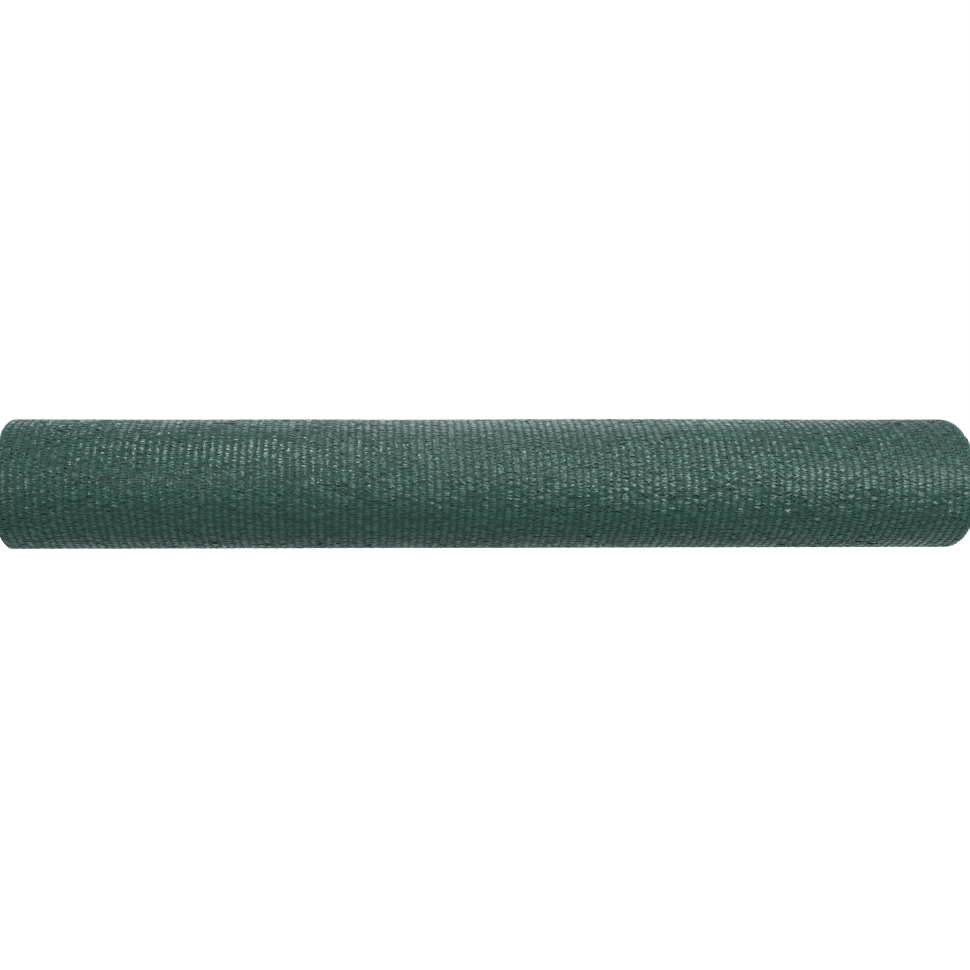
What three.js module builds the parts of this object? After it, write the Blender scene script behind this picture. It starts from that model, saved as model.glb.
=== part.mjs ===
// A roll of knitted privacy screen netting, lying on its side. Millimetres, +Z up.
// X runs along the roll, and the origin is on the floor under the middle of the roll.
// The roll is one solid: its wound outline with the free edge of the last turn, the flat spot
// that it lies on, and the main turns as a spiral relief on both ends.

import * as THREE from 'three';

// Driving dimensions
const NET_WIDTH = 1000; // width of the netting, and so the length of the roll
const ROLL_RADIUS = 69.5; // from the axis to the outside of the wound turns
const LAYER = 0.6; // thickness of one turn of netting
const RIM_SOFTNESS = 1.2; // how far the outer turns round off at each end
const FLAT_DROP = 1.5; // how much lower a full circle would reach than the flat spot
const FREE_EDGE_DEG = 253.125; // where the last turn ends, on the back of the roll
const FREE_EDGE_SLANT_DEG = 0.6; // the cut edge is not quite square to the turn below
const MAIN_TURNS = 6; // main turns that show in the ends
const GROOVE_DEPTH = 1.6; // depth of the groove between two main turns
const EYE_DEPTH = 4; // depth of the dimple in the middle of each end

// Resolution
const COLUMNS = 64; // steps round the roll
const STATIONS = 18; // steps along the roll
const LINES_PER_TURN = 3; // a groove and two shoulders

// How far the netting has wandered sideways, towards +X, as each main turn begins.
const WANDER = [
  { turn: 0, shift: -0.6 },
  { turn: 1, shift: 1.8 },
  { turn: 2, shift: -1.2 },
  { turn: 3, shift: 0.9 },
  { turn: 4, shift: 2.1 },
  { turn: 5, shift: -0.8 },
  { turn: 6, shift: 0 },
];

// Slow waves in the roll's surface: how many along and around it, where they start, how high.
const SWELLS = [
  { along: 1.3, around: 2, start: 0.4, height: 0.22 },
  { along: 2.6, around: 3, start: 2.1, height: 0.16 },
  { along: 4.1, around: 1, start: 3.7, height: 0.1 },
];

const NETTING = {
  color: 0x46605a,
  roughness: 0.62,
  metalness: 0,
};

// Angles run from the bottom of the roll by its front, top and back, in degrees.
// The netting is wound that way, so its free edge lies behind the roll and points down.
function columnAngles() {
  const step = 360 / COLUMNS;
  const angles = [];
  for (let i = 0; i < COLUMNS; i += 1) {
    angles.push(i * step);
  }
  angles.push(FREE_EDGE_DEG - FREE_EDGE_SLANT_DEG);
  return angles.sort((a, b) => a - b);
}

// The share of the last turn that lies between the free edge and an angle.
function shareOfTurn(angle) {
  return ((angle - FREE_EDGE_DEG + 360) % 360) / 360;
}

function swell(angle, x) {
  const round = THREE.MathUtils.degToRad(angle);
  const awayFromFloor = (1 - Math.cos(round)) / 2;
  let height = 0;
  for (const wave of SWELLS) {
    const phase = wave.along * 2 * Math.PI * (x / NET_WIDTH) + wave.around * round + wave.start;
    height += wave.height * Math.sin(phase);
  }
  return height * awayFromFloor;
}

// A point of the roll's section, as [y, z] from the axis. layers is how much of the last turn
// it lies on, inset is how far it lies inside the outline, and scale shrinks it to the axis.
function sectionPoint(angle, x, layers, inset, scale) {
  const round = THREE.MathUtils.degToRad(angle);
  const radius = ROLL_RADIUS - LAYER + LAYER * layers + swell(angle, x) - inset;
  const lowest = FLAT_DROP - ROLL_RADIUS + inset;
  const y = -Math.sin(round) * radius;
  const z = Math.max(-Math.cos(round) * radius, lowest);
  return [y * scale, z * scale];
}

function wanderAt(turn) {
  const from = WANDER[Math.min(Math.floor(turn), MAIN_TURNS - 1)];
  const to = WANDER[from.turn + 1];
  return THREE.MathUtils.lerp(from.shift, to.shift, turn - from.turn);
}

// How far the end stands out, towards +X, on a spiral line at an angle. side is 1 or -1.
function endRelief(line, angle, side) {
  const turn = Math.floor(line / LINES_PER_TURN) + angle / 360;
  const inGroove = line % LINES_PER_TURN === 0;
  if (!inGroove) {
    return wanderAt(turn);
  }
  const inner = side * wanderAt(Math.max(turn - 1, 0));
  const outer = side * wanderAt(turn);
  return side * (Math.min(inner, outer) - GROOVE_DEPTH);
}

function rollGeometry() {
  const positions = [];
  const triangles = [];
  const angles = columnAngles();
  const lines = MAIN_TURNS * LINES_PER_TURN;
  const half = NET_WIDTH / 2;

  function addPoint(x, y, z) {
    positions.push(x, y, z);
    return positions.length / 3 - 1;
  }

  function addTriangle(a, b, c, side) {
    if (a === b || b === c || c === a) {
      return;
    }
    triangles.push(...(side > 0 ? [a, b, c] : [a, c, b]));
  }

  function addQuad(a, b, c, d, side) {
    addTriangle(a, b, c, side);
    addTriangle(a, c, d, side);
  }

  function ring(x, inset) {
    return angles.map((angle) => {
      const place = sectionPoint(angle, x, shareOfTurn(angle), inset, 1);
      return addPoint(x, ...place);
    });
  }

  function joinRings(near, far) {
    near.forEach((a, i) => {
      const next = (i + 1) % angles.length;
      addQuad(a, far[i], far[next], near[next], 1);
    });
  }

  // The spiral lines of one end, from the eye in the middle out to the rim.
  function addEnd(side, rim) {
    const x = side * half;
    const eye = addPoint(side * (half - EYE_DEPTH), 0, 0);
    const onSpiral = new Map();

    function at(line, column) {
      if (column === angles.length) {
        return at(line + LINES_PER_TURN, 0);
      }
      const angle = angles[column];
      const turnsOut = line / LINES_PER_TURN + angle / 360;
      if (turnsOut <= 0) {
        return eye;
      }
      if (turnsOut >= MAIN_TURNS) {
        return rim[column];
      }
      const key = line * angles.length + column;
      if (!onSpiral.has(key)) {
        const place = sectionPoint(angle, x, 0, RIM_SOFTNESS, turnsOut / MAIN_TURNS);
        const shift = line < 0 ? -side * EYE_DEPTH : endRelief(line, angle, side);
        onSpiral.set(key, addPoint(x + shift, ...place));
      }
      return onSpiral.get(key);
    }

    for (let line = -LINES_PER_TURN; line < lines; line += 1) {
      for (let column = 0; column < angles.length; column += 1) {
        addQuad(
          at(line, column),
          at(line + 1, column),
          at(line + 1, column + 1),
          at(line, column + 1),
          -side,
        );
      }
    }
  }

  const leftRim = ring(-half, RIM_SOFTNESS);
  let previous = leftRim;
  for (let i = 0; i <= STATIONS; i += 1) {
    const x = THREE.MathUtils.lerp(RIM_SOFTNESS - half, half - RIM_SOFTNESS, i / STATIONS);
    const station = ring(x, 0);
    joinRings(previous, station);
    previous = station;
  }
  const rightRim = ring(half, RIM_SOFTNESS);
  joinRings(previous, rightRim);
  addEnd(-1, leftRim);
  addEnd(1, rightRim);

  const geometry = new THREE.BufferGeometry();
  geometry.setAttribute('position', new THREE.Float32BufferAttribute(positions, 3));
  geometry.setIndex(triangles);
  geometry.computeVertexNormals();
  return geometry;
}

// Stands the geometry on the floor, centred on the origin.
function standOnFloor(geometry) {
  geometry.computeBoundingBox();
  const { min, max } = geometry.boundingBox;
  geometry.translate(-(min.x + max.x) / 2, -(min.y + max.y) / 2, -min.z);
  return geometry;
}

const nettingRoll = new THREE.Mesh(
  standOnFloor(rollGeometry()),
  new THREE.MeshStandardMaterial(NETTING),
);
nettingRoll.name = 'netting_roll';

const group = new THREE.Group();
group.add(nettingRoll);

export default group;
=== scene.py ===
"""A roll of knitted privacy screen netting, lying on a plain pale floor."""

import math

import bmesh
import bpy
import numpy as np
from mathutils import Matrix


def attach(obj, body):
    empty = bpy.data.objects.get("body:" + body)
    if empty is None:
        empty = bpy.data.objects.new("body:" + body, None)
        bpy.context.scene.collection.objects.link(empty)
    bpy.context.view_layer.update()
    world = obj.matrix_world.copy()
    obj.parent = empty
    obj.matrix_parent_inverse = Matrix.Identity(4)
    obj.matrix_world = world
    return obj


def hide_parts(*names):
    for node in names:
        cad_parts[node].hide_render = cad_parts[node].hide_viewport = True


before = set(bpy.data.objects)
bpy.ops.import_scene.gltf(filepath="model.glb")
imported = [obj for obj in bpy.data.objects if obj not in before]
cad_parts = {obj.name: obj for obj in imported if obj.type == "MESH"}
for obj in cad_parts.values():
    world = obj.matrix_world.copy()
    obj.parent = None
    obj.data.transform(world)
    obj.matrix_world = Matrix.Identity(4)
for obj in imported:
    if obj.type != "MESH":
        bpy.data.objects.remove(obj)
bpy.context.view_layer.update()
TAU = 2 * math.pi

# The roll, in metres. These are the sizes that its solid is made from.
NET_WIDTH = 1.0
ROLL_RADIUS = 0.0695
LAYER = 0.0006  # thickness of one wound turn
FLAT_DROP = 0.0015  # how much lower a full circle would reach than the flat spot
FREE_EDGE = math.radians(253.125)  # from the bottom, by the front and the top, to the back
MAIN_TURNS = 6
GROOVE_DEPTH = 0.0016  # between two main turns

# Sideways wander of the netting, towards +X, as each main turn begins.
WANDER = (-0.0006, 0.0018, -0.0012, 0.0009, 0.0021, -0.0008, 0.0)

# Slow waves in the roll's surface: (along, around, start, height).
SWELLS = (
    (1.3, 2, 0.4, 0.00022),
    (2.6, 3, 2.1, 0.00016),
    (4.1, 1, 3.7, 0.00010),
)

# The solid stands on the floor and is centred on the origin, and so is all that is made here.
AXIS_X = -(max(WANDER) + min(WANDER)) / 2
AXIS_Z = ROLL_RADIUS - FLAT_DROP

# The knit: ribs of laid-in tape between lines of chain stitches, all round the roll.
RIBS = 126
COURSES = 86
FINE_TURNS = 106
RIB = NET_WIDTH / RIBS
ROUND = TAU * (ROLL_RADIUS - LAYER / 2)
PRESSED = 0.0004  # the winding presses what stands higher than this
KNIT_TOP = 0.0009  # what stands this high on the flat spot touches the floor
FLOOR_RELIEF = 0.25  # the share of the knit's relief that the floor leaves

random = np.random.default_rng(20)
WAVE_REACH = 1.6  # a sum of slow waves seldom passes this many of its standard deviations


def slow_field(waves, along, around):
    """A smooth random function of x and the share of a turn, with values mostly from -1 to 1.

    It is a sum of waves, of at most along to the metre and around to the turn.
    """
    rates = random.uniform(-1, 1, (waves, 2)) * (along, around)
    starts = random.uniform(0, TAU, waves)

    def value(x, t):
        phases = TAU * (rates[:, 0] * x[..., None] + rates[:, 1] * t[..., None]) + starts
        return np.sin(phases).sum(-1) / math.sqrt(waves / 2) / WAVE_REACH

    return value


def swell(angle, x):
    """How far the roll's surface swells, which it doesn't where it lies on the floor."""
    height = sum(
        high * np.sin(along * TAU * x / NET_WIDTH + around * angle + start)
        for along, around, start, high in SWELLS
    )
    return height * (1 - np.cos(angle)) / 2


def section(angle, radius, height, scale=1.0):
    """y and z of a point that stands height above a radius of the roll, pressed flat on the floor."""
    y = -np.sin(angle) * (radius + height) * scale
    z = -np.cos(angle) * (radius + height) * scale
    pressed = FLOOR_RELIEF * (KNIT_TOP - height)
    return y, AXIS_Z + np.maximum(z, (FLAT_DROP - ROLL_RADIUS + pressed) * scale)


def on_roll(x, t, height):
    """Points of the last turn, at x along the roll and a share t of the turn past the free edge."""
    angle = FREE_EDGE + TAU * t
    radius = ROLL_RADIUS - LAYER + LAYER * t + swell(angle, x)
    y, z = section(angle, radius, height)
    x, y, z = np.broadcast_arrays(AXIS_X + x, y, z)
    return np.stack((x, y, z), -1)


def grid_faces(count, rows, columns, closed=False):
    """Quads of count grids of rows by columns points. closed joins the last column to the first."""
    i, j, k = np.ogrid[:count, : rows - 1, : columns if closed else columns - 1]
    after = (k + 1) % columns

    def at(row, column):
        return (i * rows + row) * columns + column

    return np.stack(np.broadcast_arrays(at(j, k), at(j, after), at(j + 1, after), at(j + 1, k)), -1)


BAKE_MARGIN = 0.01  # round the bake's layout, as a share of it


def new_piece(name, points, faces, material, uv, tone):
    """A mesh object from arrays. uv is where each point lies on the unrolled netting, in metres.

    The map knit holds that place for the material, and OFBake fits it to a square for the bake.
    """
    mesh = bpy.data.meshes.new(name)
    flat = np.ascontiguousarray(points.reshape(-1, 3), np.float32)
    corners = np.ascontiguousarray(faces.reshape(-1, faces.shape[-1]), np.int32)
    mesh.vertices.add(len(flat))
    mesh.vertices.foreach_set("co", flat.ravel())
    mesh.loops.add(corners.size)
    mesh.loops.foreach_set("vertex_index", corners.ravel())
    mesh.polygons.add(len(corners))
    mesh.polygons.foreach_set("loop_start", np.arange(0, corners.size, corners.shape[1]))
    mesh.update(calc_edges=True)
    mesh.shade_smooth()

    places = uv.reshape(-1, 2)[corners.ravel()]
    knit = mesh.uv_layers.new(name="knit")
    knit.uv.foreach_set("vector", places.astype(np.float32).ravel())
    low, high = places.min(0), places.max(0)
    baked = mesh.uv_layers.new(name="OFBake")
    fitted = BAKE_MARGIN + (1 - 2 * BAKE_MARGIN) * (places - low) / (high - low)
    baked.uv.foreach_set("vector", fitted.astype(np.float32).ravel())
    layer = mesh.attributes.new("tone", "FLOAT", "POINT")
    layer.data.foreach_set("value", tone.astype(np.float32).ravel())
    mesh.materials.append(material)

    piece = bpy.data.objects.new(name, mesh)
    bpy.context.collection.objects.link(piece)
    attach(piece, "root")
    return piece


# The netting's green as a share of red, green and blue, and what each kind of strand makes of it:
# the darkest and lightest tone, how rough it is, how many streaks a metre has along x and round
# the roll, how deep they look, and how much it shines.
GREEN = (0.40, 1.0, 0.89)
FINISHES = {
    "tape": dict(tones=(0.0095, 0.034), rough=(0.15, 0.3), streak=(90, 1500), bump=0.15, shine=0.18),
    # The tapes under the others: the same tape, painted darker as painted shade from the tapes above
    # them.
    "shaded_tape_below": dict(tones=(0.009, 0.025), rough=(0.3, 0.45), streak=(90, 1500), bump=0.3, shine=0.06),
    "thread": dict(tones=(0.0138, 0.0295), rough=(0.4, 0.55), streak=(1500, 200), bump=0.3, shine=0.05),
    "turn_edge": dict(tones=(0.012, 0.06), rough=(0.45, 0.6), streak=(90, 1500), bump=0.3, shine=0.03),
    # The turns under the knit: the same netting, painted much darker as painted shade seen through the
    # gaps.
    "shaded_turn_below": dict(tones=(0.0048, 0.011), rough=(0.5, 0.7), streak=(90, 900), bump=0.5, shine=0.0),
}
TONE_RANGE = (0.1, 0.95)  # where the darkest and the lightest tone are reached
STREAK_TONE = 0.5  # how much the streaks add to a strand's own tone
STREAK_DETAIL = 3
STREAK_RELIEF = 0.0003
GLINT_TINT = (0.85, 1.0, 0.97)


def netting_material(name, tones, rough, streak, bump, shine):
    """Plastic tape: each tape has its own tone, with fine lengthwise streaks in it."""
    material = bpy.data.materials.new(name)
    material.use_nodes = True
    nodes, links = material.node_tree.nodes, material.node_tree.links
    shader = nodes["Principled BSDF"]
    shader.inputs["Specular IOR Level"].default_value = shine
    shader.inputs["Specular Tint"].default_value = (*GLINT_TINT, 1)

    tone = nodes.new("ShaderNodeAttribute")
    tone.attribute_name = "tone"
    unrolled = nodes.new("ShaderNodeUVMap")
    unrolled.uv_map = "knit"
    stretch = nodes.new("ShaderNodeMapping")
    stretch.inputs["Scale"].default_value = (*streak, 1)
    links.new(unrolled.outputs["UV"], stretch.inputs["Vector"])
    streaks = nodes.new("ShaderNodeTexNoise")
    streaks.inputs["Scale"].default_value = 1
    streaks.inputs["Detail"].default_value = STREAK_DETAIL
    links.new(stretch.outputs["Vector"], streaks.inputs["Vector"])

    mixed = nodes.new("ShaderNodeMath")
    mixed.operation = "MULTIPLY_ADD"
    mixed.inputs[1].default_value = STREAK_TONE
    links.new(streaks.outputs["Fac"], mixed.inputs[0])
    links.new(tone.outputs["Fac"], mixed.inputs[2])
    ramp = nodes.new("ShaderNodeValToRGB")
    for stop, position, tone_of_green in zip(ramp.color_ramp.elements, TONE_RANGE, tones):
        stop.position = position
        stop.color = (*(tone_of_green * share for share in GREEN), 1)
    links.new(mixed.outputs["Value"], ramp.inputs["Fac"])
    links.new(ramp.outputs["Color"], shader.inputs["Base Color"])

    worn = nodes.new("ShaderNodeMapRange")
    worn.inputs["To Min"].default_value, worn.inputs["To Max"].default_value = rough
    links.new(streaks.outputs["Fac"], worn.inputs["Value"])
    links.new(worn.outputs["Result"], shader.inputs["Roughness"])

    relief = nodes.new("ShaderNodeBump")
    relief.inputs["Strength"].default_value = bump
    relief.inputs["Distance"].default_value = STREAK_RELIEF
    links.new(streaks.outputs["Fac"], relief.inputs["Height"])
    links.new(relief.outputs["Normal"], shader.inputs["Normal"])
    return material


# Where the netting lies slack or tight: (x, angle round, reach along, reach round, slackness).
# The angles are in degrees, from the bottom by the front, as the free edge's is.
ZONES = (
    (-0.22, 124, 0.10, 12, -0.2),
    (0.10, 130, 0.06, 12, 0.6),
    (-0.07, 100, 0.10, 12, 0.5),
    (0.19, 84, 0.09, 14, 0.7),
    (0.34, 75, 0.07, 12, 0.5),
    (0.46, 95, 0.05, 22, -0.2),
    (-0.44, 75, 0.05, 14, 0.6),
    (-0.14, 58, 0.20, 10, -0.7),
    (0.45, 125, 0.06, 12, -0.7),
    (-0.31, 92, 0.08, 10, -0.4),
    (0.00, 149, 0.60, 8, -0.4),
)
SLACK_LIMITS = (0.25, 2.5)
SLACK_NOISE = 0.3
CHAIN_WANDER = 0.0006  # how far a line of chain stitches wanders sideways
RIM_GAP = 0.0011  # how far inside the netting's edge the outermost lines run
COURSE_BOW = 0.0011  # how far a course strays round the roll

slack_noise = slow_field(14, 9, 7)
chain_noise = slow_field(14, 7, 9)
course_noise = slow_field(10, 3, 3)


def slackness(x, t):
    """How loosely the tapes lie at a place on the last turn: about 1, and within its limits."""
    angle = np.degrees((FREE_EDGE + TAU * t) % TAU)
    found = 1 + SLACK_NOISE * slack_noise(x, t)
    for zone_x, zone_angle, along, around, more in ZONES:
        near = ((x - zone_x) / along) ** 2 + ((angle - zone_angle) / around) ** 2
        found = found + more * np.exp(-near)
    return np.clip(found, *SLACK_LIMITS)


def chain_x(line, t):
    """Where a line of chain stitches runs: each wanders a little, and neighbours wander together."""
    x = line * RIB - NET_WIDTH / 2
    rim = NET_WIDTH / 2 - RIM_GAP
    return np.clip(x, -rim, rim) + CHAIN_WANDER * chain_noise(x, t)


def course_t(course, x):
    """Where a course lies, as a share of the turn, with the slow bow that winding gives it."""
    t = course / COURSES
    return t + COURSE_BOW / ROUND * course_noise(np.asarray(x, float), np.asarray(t, float))


# The laid-in tapes lie in layers that cross and hide each other by chance. For each layer: points
# along and across, half width, height at the middle and at the chains, lean over half the rib, and
# where its tapes start in a course.
LAYERS = {
    "stray": dict(rows=4, across=2, half=0.0005, middle=0.00015, ends=-0.0003, lean=-0.0011, at=0.25),
    "upper": dict(rows=6, across=3, half=0.00095, middle=0.0001, ends=-0.0004, lean=0.0006, at=0.5),
    "middle": dict(rows=5, across=3, half=0.00105, middle=-0.0001, ends=-0.0005, lean=-0.0006, at=1.0),
    "lower": dict(rows=4, across=3, half=0.0024, middle=-0.00055, ends=-0.0008, lean=0.0002, at=0.75),
}

# How one tape differs from the next, as (mean, spread), and the limits that some of it keeps.
# Width and tone are shares, tilt and twist are in radians, and the rest is in metres.
TAPE_LEAN = (-0.0003, 0.0007)
TAPE_SHIFT = (0, 0.00022)
TAPE_BOW = (0, 0.0004)
TAPE_WIDTH = (1, 0.22)
WIDTH_LIMITS = (0.5, 1.6)
TAPE_RISE = (0.00003, 0.00012)
RISE_LIMITS = (-0.0002, 0.0003)
TAPE_TILT = (0, 0.2)
TAPE_TWIST = (0, 0.13)  # at each of its rows
TAPE_CREASE = (0, 0.00007)
TAPE_TONE = (0.33, 0.2)
TONE_LIMITS = (0, 0.85)

TAPE_DOME = 0.00014  # how far a flat tape still bulges between its edges
ARCH_POWER = 0.9  # under 1, a tape rises from the chains a little faster than a sine
CHAIN_WIDTH = 0.4  # a tape's width and tone at the chains, as shares of those at its middle; the lower tone there is painted shade where the tape sinks under the chains
CHAIN_SHADE = 0.55
SLACK_SHEEN = 0.06  # how much lighter a slack tape is painted, a painted sheen for the glints of its looser lie


def tapes(lines, layer, material, name):
    """One piece of laid-in tapes, in the ribs that start at these chain lines."""
    rib, course = np.meshgrid(lines, np.arange(COURSES), indexing="ij")
    rib, course = rib.ravel().astype(float), course.ravel().astype(float)
    count, rows = len(rib), layer["rows"]
    middle = (rib + 0.5) * RIB - NET_WIDTH / 2
    t = course_t(course + layer["at"], middle)
    slack = slackness(middle, t)[:, None]

    along = np.linspace(0, 1, rows)
    across = np.linspace(-1, 1, layer["across"])
    arch = np.sin(math.pi * along) ** ARCH_POWER
    way = np.where((rib + course) % 2 == 0, 1.0, -1.0)[:, None]
    lean = way * layer["lean"] + random.normal(*TAPE_LEAN, (count, 1)) * slack
    shift = random.normal(*TAPE_SHIFT, (count, 1))
    bow = random.normal(*TAPE_BOW, (count, 1)) * slack
    half = layer["half"] * np.clip(random.normal(*TAPE_WIDTH, (count, 1)), *WIDTH_LIMITS)
    rise = np.clip(random.normal(*TAPE_RISE, (count, 1)) * slack, *RISE_LIMITS)
    tilt = random.normal(*TAPE_TILT, (count, 1)) + random.normal(*TAPE_TWIST, (count, rows))
    crease = random.normal(*TAPE_CREASE, (count, 1, layer["across"]))

    width = half * (CHAIN_WIDTH + (1 - CHAIN_WIDTH) * arch)
    height = layer["ends"] + (layer["middle"] + rise - layer["ends"]) * arch
    start, end = chain_x(rib, t)[:, None], chain_x(rib + 1, t)[:, None]
    x = start + (end - start) * along
    offset = shift + lean * (2 * along - 1) + bow * arch
    round_off = across * width[..., None]
    place_t = t[:, None, None] + (offset[..., None] + round_off) / ROUND
    dome = (TAPE_DOME + crease * slack[..., None]) * (1 - across**2)
    height = height[..., None] + dome + round_off * np.sin(tilt * slack)[..., None]
    height = np.where(height > 0, PRESSED * np.tanh(height / PRESSED), height)
    x = np.broadcast_to(x[..., None], place_t.shape)
    # Painted sheen: slack tapes are painted lighter, tight ones darker.
    tone = random.normal(*TAPE_TONE, (count, 1)) + SLACK_SHEEN * (slack - 1)
    # Painted shade: each tape is painted darker towards the chains, where it sinks under them.
    tone = tone * (CHAIN_SHADE + (1 - CHAIN_SHADE) * arch)
    return new_piece(
        name,
        on_roll(x, place_t, height),
        grid_faces(count, rows, len(across)),
        material,
        np.stack((x, place_t * ROUND), -1),
        np.broadcast_to(np.clip(tone, *TONE_LIMITS)[..., None], place_t.shape),
    )


# One of a stitch's two legs: (share of its length, distance from the chain's line, height).
LEG = (
    (0.0, 0.00022, -0.00045),
    (0.42, 0.00062, 0.0),
    (1.0, 0.00028, -0.0002),
)
LEG_LENGTH = 1.18  # in courses, so that each leg ends under the next stitch
LEG_CROWN = 0.00016

# How one leg differs from the next, as (mean, spread), and the limits that some of it keeps.
LEG_HALF_WIDTH = (0.0004, 0.00005)
HALF_WIDTH_LIMITS = (0.00025, 0.0006)
LEG_LIFT = (0, 0.00007)
LEG_TONE = (0.25, 0.12)
LEG_TONE_LIMITS = (0, 0.7)


def chains(lines, material, name):
    """One piece of chain stitches: each is a loop of two legs that ends under the next loop."""
    line, course, leg = np.meshgrid(lines, np.arange(COURSES), (-1, 1), indexing="ij")
    line, course, leg = (part.ravel().astype(float) for part in (line, course, leg))
    count = len(line)
    along, spread, high = np.array(LEG).T
    across = np.array((-1, 0, 1))
    crown = LEG_CROWN * (1 - across**2)

    line_x = line * RIB - NET_WIDTH / 2
    t = course_t(course, line_x)[:, None] + along * LEG_LENGTH / COURSES
    half = np.clip(random.normal(*LEG_HALF_WIDTH, count), *HALF_WIDTH_LIMITS)
    lift = random.normal(*LEG_LIFT, count)
    middle = chain_x(line[:, None], t) + leg[:, None] * spread
    x = middle[..., None] + across * half[:, None, None]
    height = lift[:, None, None] + high[:, None] + crown
    place_t = np.broadcast_to(t[..., None], x.shape)
    tone = np.clip(random.normal(*LEG_TONE, count), *LEG_TONE_LIMITS)
    return new_piece(
        name,
        on_roll(x, place_t, np.broadcast_to(height, x.shape)),
        grid_faces(count, len(along), len(across)),
        material,
        np.stack((x, place_t * ROUND), -1),
        np.broadcast_to(tone[:, None, None], x.shape),
    )


# The body under the knit. Its two ends lie behind the edges of the turns: a flat disc, made of
# rings of these scales, and from there a short cone out to the full size.
CORE_SIDES = 256
CORE_STATIONS = 60
CORE_SINK = 0.0012
CORE_TONE = 0.3
DISC_DEPTH = 0.0065
CONE_DEPTH = 0.0042
DISC_SCALES = (0.02, 0.6, 0.94)


def roll_core(material):
    """The wound turns under the last one: a closed body, a little inside the knit."""
    disc, cone = NET_WIDTH / 2 - DISC_DEPTH, NET_WIDTH / 2 - CONE_DEPTH
    rings = len(DISC_SCALES)
    angle = TAU * np.arange(CORE_SIDES) / CORE_SIDES
    t = ((angle - FREE_EDGE) / TAU) % 1
    side_x = np.linspace(-cone, cone, CORE_STATIONS)
    x = np.concatenate(([-disc] * rings, side_x, [disc] * rings))
    scale = np.concatenate((DISC_SCALES, np.ones(CORE_STATIONS), DISC_SCALES[::-1]))
    radius = ROLL_RADIUS - LAYER + LAYER * t - CORE_SINK
    radius = radius + swell(angle, x[:, None])
    y, z = section(angle, radius, 0 * radius, scale[:, None])
    points = np.stack(np.broadcast_arrays(AXIS_X + x[:, None], y, z), -1)
    faces = grid_faces(1, len(x), CORE_SIDES, closed=True).reshape(-1, 4)
    uv = np.stack(np.broadcast_arrays(x[:, None], t * ROUND), -1)
    tone = np.full(points.shape[:2], CORE_TONE)
    piece = new_piece("wound_turns", points, faces, material, uv, tone)
    close_ends(piece, CORE_SIDES, len(x))
    return piece


def close_ends(piece, sides, rows):
    """Fills the small holes left in the middle of the two ends."""
    mesh = bmesh.new()
    mesh.from_mesh(piece.data)
    mesh.verts.ensure_lookup_table()
    mesh.faces.new([mesh.verts[i] for i in range(sides)])
    last = (rows - 1) * sides
    mesh.faces.new([mesh.verts[last + i] for i in reversed(range(sides))])
    bmesh.ops.recalc_face_normals(mesh, faces=mesh.faces)
    mesh.to_mesh(piece.data)
    mesh.free()


EYE_RADIUS = 0.0024
SPIRAL_STEP = 0.0026  # length of a step along the spiral
TIGHT_RADIUS = 0.006  # inside this, the steps get shorter with the radius
PITCH = (ROLL_RADIUS - LAYER - EYE_RADIUS) / FINE_TURNS

# The edge of one turn, across it: (share of the pitch, how far it stands out).
TURN_EDGE = (
    (0.04, -0.0026),
    (0.3, -0.0001),
    (0.66, 0.0),
    (0.96, -0.0026),
)
TURN_LEAN = 0.25  # how far a turn strays from its place, as a share of the pitch
GROOVE_WIDTH = 0.05  # as a share of a main turn
BUNCH_DEPTH = 0.0011  # how far bunches of turns stand back
SINGLE_DEPTH = 0.0004  # how far single turns do
STITCH_DEPTH = 0.0002  # how far the selvedge zigzags, and how unevenly
RIM_TURNS = 2  # in the outermost turns the grooves fade and the edge grows even
RIM_RAGGED = 0.15  # how uneven the edge still is at the rim
EYE_SQUASH = 0.35  # how much lower than wide the eye is
EYE_TURNS = 9  # how many turns it takes to fade
ABOVE_FLOOR = 0.997  # the edges keep clear of the floor
EDGE_TONE = (0.32, 0.12)
EDGE_TONE_LIMITS = (0, 0.8)
# How much lighter the turns that stand out are painted, and darker those that stand back: painted shade
# in the recesses.
BUNCH_SHADE = 0.12


def spiral_turns():
    """The points of an end's spiral, as the number of turns from the eye."""
    turns = [0.0]
    while turns[-1] < FINE_TURNS:
        radius = max(EYE_RADIUS + PITCH * turns[-1], TIGHT_RADIUS)
        turns.append(min(turns[-1] + SPIRAL_STEP / (TAU * radius), FINE_TURNS))
    return np.array(turns)


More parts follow.
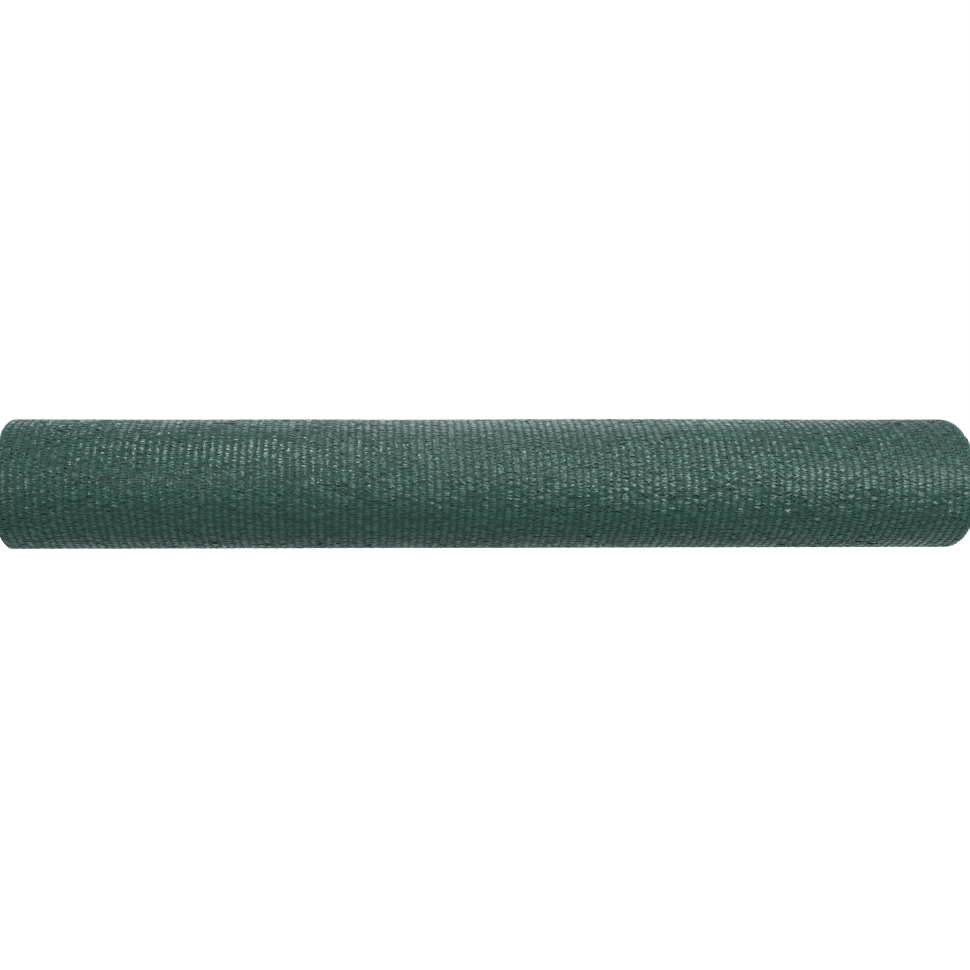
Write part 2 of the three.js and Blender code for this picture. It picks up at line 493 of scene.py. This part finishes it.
def end_turns(side, material, name):
    """The edges of the wound turns at one end, as one spiral from the eye to the free edge."""
    turns = spiral_turns()
    share = turns / FINE_TURNS
    angle = FREE_EDGE + TAU * turns
    from_rim = (FINE_TURNS - turns) / RIM_TURNS
    main = share * MAIN_TURNS
    wander = np.interp(main, np.arange(MAIN_TURNS + 1), WANDER)
    groove = GROOVE_DEPTH * np.exp(-(((main + 0.5) % 1 - 0.5) / GROOVE_WIDTH) ** 2)
    groove = groove * np.clip(from_rim, 0, 1)
    bunch = slow_field(30, 0, 40)(turns, share)
    single = slow_field(30, 0, 90)(turns, share)
    lean = slow_field(24, 0, 50)(turns, share)
    zigzag = np.where(np.arange(len(turns)) % 2 == 0, STITCH_DEPTH, -STITCH_DEPTH)
    stitch = random.normal(0, STITCH_DEPTH, len(turns)) + zigzag
    ragged = BUNCH_DEPTH * (1 - bunch) + SINGLE_DEPTH * (1 - single)
    ragged = ragged * np.clip(from_rim, RIM_RAGGED, 1)
    stands = wander * side - (groove + ragged) + stitch

    across, out = np.array(TURN_EDGE).T
    squash = EYE_SQUASH * np.exp(-turns / EYE_TURNS)[:, None]
    radius = EYE_RADIUS + PITCH * (turns[:, None] + across + TURN_LEAN * lean[:, None])
    radius = radius + (swell(angle, side * NET_WIDTH / 2) * share**4)[:, None]
    x = NET_WIDTH / 2 + stands[:, None] + out
    y = -np.sin(angle)[:, None] * radius
    z = -np.cos(angle)[:, None] * radius * (1 - squash)
    lowest = (FLAT_DROP - ROLL_RADIUS) * radius / (ROLL_RADIUS - LAYER)
    z = AXIS_Z + np.maximum(z, lowest * ABOVE_FLOOR)
    points = np.stack(np.broadcast_arrays(AXIS_X + side * x, y, z), -1)
    faces = grid_faces(1, len(turns), len(across)).reshape(-1, 4)
    if side < 0:
        faces = faces[:, ::-1]
    uv = np.stack(np.broadcast_arrays(x, TAU * turns[:, None] * radius / 2), -1)
    # Turns that stand back are painted darker, as painted shade.
    tone = random.normal(*EDGE_TONE, len(turns)) + BUNCH_SHADE * bunch
    tone = np.broadcast_to(np.clip(tone, *EDGE_TONE_LIMITS)[:, None], radius.shape)
    return new_piece(name, points, faces, material, uv, tone)


def build_roll():
    finish = {name: netting_material(name, **values) for name, values in FINISHES.items()}
    # the body under the knit is painted dark, as painted shade in the gaps between the tapes
    pieces = [roll_core(finish["shaded_turn_below"])]
    for number, lines in enumerate(np.array_split(np.arange(RIBS), 2), 1):
        for kind, layer in LAYERS.items():
            # the lowest layer takes the shaded copy of the tape, its darker tone painted shade
            strand = finish["shaded_tape_below" if kind == "lower" else "tape"]
            pieces.append(tapes(lines, layer, strand, f"{kind}_tapes_{number}"))
    for number, lines in enumerate(np.array_split(np.arange(RIBS + 1), 2), 1):
        pieces.append(chains(lines, finish["thread"], f"chain_stitches_{number}"))
    pieces.append(end_turns(-1, finish["turn_edge"], "end_turns_left"))
    pieces.append(end_turns(1, finish["turn_edge"], "end_turns_right"))
    for piece in pieces:
        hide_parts("netting_roll")


# The floor shines enough to leave no shadow, and its light has some of the roll's own green.
BOUNCE = (0.8, 1.0, 0.97)
FLOOR_REACH = 12.0
FLOOR_TONE = 0.03
FLOOR_ROUGHNESS = 0.9
FLOOR_GLOW = 1.58


def floor_material():
    material = bpy.data.materials.new("pale_floor")
    material.use_nodes = True
    shader = material.node_tree.nodes["Principled BSDF"]
    shader.inputs["Base Color"].default_value = (FLOOR_TONE, FLOOR_TONE, FLOOR_TONE, 1)
    shader.inputs["Roughness"].default_value = FLOOR_ROUGHNESS
    shader.inputs["Specular IOR Level"].default_value = 0
    shader.inputs["Emission Color"].default_value = (*BOUNCE, 1)
    shader.inputs["Emission Strength"].default_value = FLOOR_GLOW
    return material


def build_floor():
    mesh = bpy.data.meshes.new("floor")
    corners = ((-1, -1), (1, -1), (1, 1), (-1, 1))
    mesh.from_pydata([(x * FLOOR_REACH, y * FLOOR_REACH, 0) for x, y in corners], [], [(0, 1, 2, 3)])
    mesh.materials.append(floor_material())
    floor = bpy.data.objects.new("floor", mesh)
    bpy.context.collection.objects.link(floor)


# Soft lights: (name, place, what it faces, size, power), and a colour where it isn't white.
LIGHTS = (
    ("top", (0.2, 0, 1.6), (0.1, 0, 0), (2.2, 0.8), 17.5),
    ("key_left", (-0.38, -0.66, 1.36), (-0.2, 0, 0.05), (0.4, 0.15), 17.5),
    ("key_right", (0.62, -0.72, 1.3), (0.2, 0, 0.05), (0.5, 0.2), 13.5),
    ("high_front", (0, -1.5, 1.0), (0, 0, 0.05), (0.4, 0.15), 14),
    ("low_front", (0.5, -2.0, 0.2), (0.2, 0, 0.05), (1.6, 0.3), 22),
    ("low_right", (0.9, -1.9, 0.35), (0.1, 0, 0.05), (0.6, 0.2), 15),
    ("back", (0, 0.9, 1.2), (0, 0, 0.05), (2.2, 0.4), 13, BOUNCE),
    ("side_right", (1.5, -1.4, 0.45), (0.3, 0, 0.05), (1.8, 1.2), 46),
    ("right_end", (2.0, 0.0, 0.7), (0.5, 0, 0.06), (0.8, 0.5), 40),
    ("behind", (0, 2.0, 0.7), (0, 0, 0.06), (2.6, 1.3), 11, BOUNCE),
    ("left_end", (-2.0, 0.0, 0.7), (-0.5, 0, 0.06), (0.8, 0.5), 40),
    ("low_left", (-1.2, -1.7, 0.3), (-0.4, 0, 0.05), (0.45, 0.15), 12),
)


def soft_light(name, place, target, size, power, colour=(1.0, 1.0, 1.0)):
    light = bpy.data.lights.new(name, "AREA")
    light.shape = "RECTANGLE"
    light.size, light.size_y = size
    light.energy = power
    light.color = colour
    lamp = bpy.data.objects.new(name, light)
    lamp.location = place
    way = np.subtract(target, place)
    lamp.rotation_euler = (
        math.atan2(math.hypot(way[0], way[1]), -way[2]),
        0,
        math.atan2(-way[0], way[1]),
    )
    bpy.context.collection.objects.link(lamp)


def build_studio():
    world = bpy.data.worlds.new("studio")
    world.use_nodes = True
    sky = world.node_tree.nodes["Background"]
    sky.inputs["Color"].default_value = (1, 1, 1, 1)
    sky.inputs["Strength"].default_value = 1.0
    bpy.context.scene.world = world
    for light in LIGHTS:
        soft_light(*light)
    bpy.context.scene.view_settings.view_transform = "Standard"


# The photo's view, worked out from the roll's outline in it.
PHOTO_WIDTH = 970  # pixels
FOCAL_LENGTH = 975.1  # in pixels of the photo
SENSOR_WIDTH = 36  # millimetres
FRAME_SHIFT = (0.1006, -0.0598)  # in widths of the frame
CAMERA_PLACE = (-0.12, -1.0512, 0.1343)
CAMERA_DIP = 0.0047  # how far it looks down and to the right of +Y, in radians
CAMERA_TURN = 0.017


def build_camera():
    """The photo's view: nearly level, from about a metre, with the frame shifted to hold the roll."""
    lens = bpy.data.cameras.new("camera")
    lens.sensor_width = SENSOR_WIDTH
    lens.lens = SENSOR_WIDTH * FOCAL_LENGTH / PHOTO_WIDTH
    lens.shift_x, lens.shift_y = FRAME_SHIFT
    lens.clip_start = 0.01
    camera = bpy.data.objects.new("camera", lens)
    camera.location = CAMERA_PLACE
    camera.rotation_euler = (math.pi / 2 - CAMERA_DIP, 0, -CAMERA_TURN)
    bpy.context.collection.objects.link(camera)
    bpy.context.scene.camera = camera


build_roll()
build_floor()
build_studio()
build_camera()
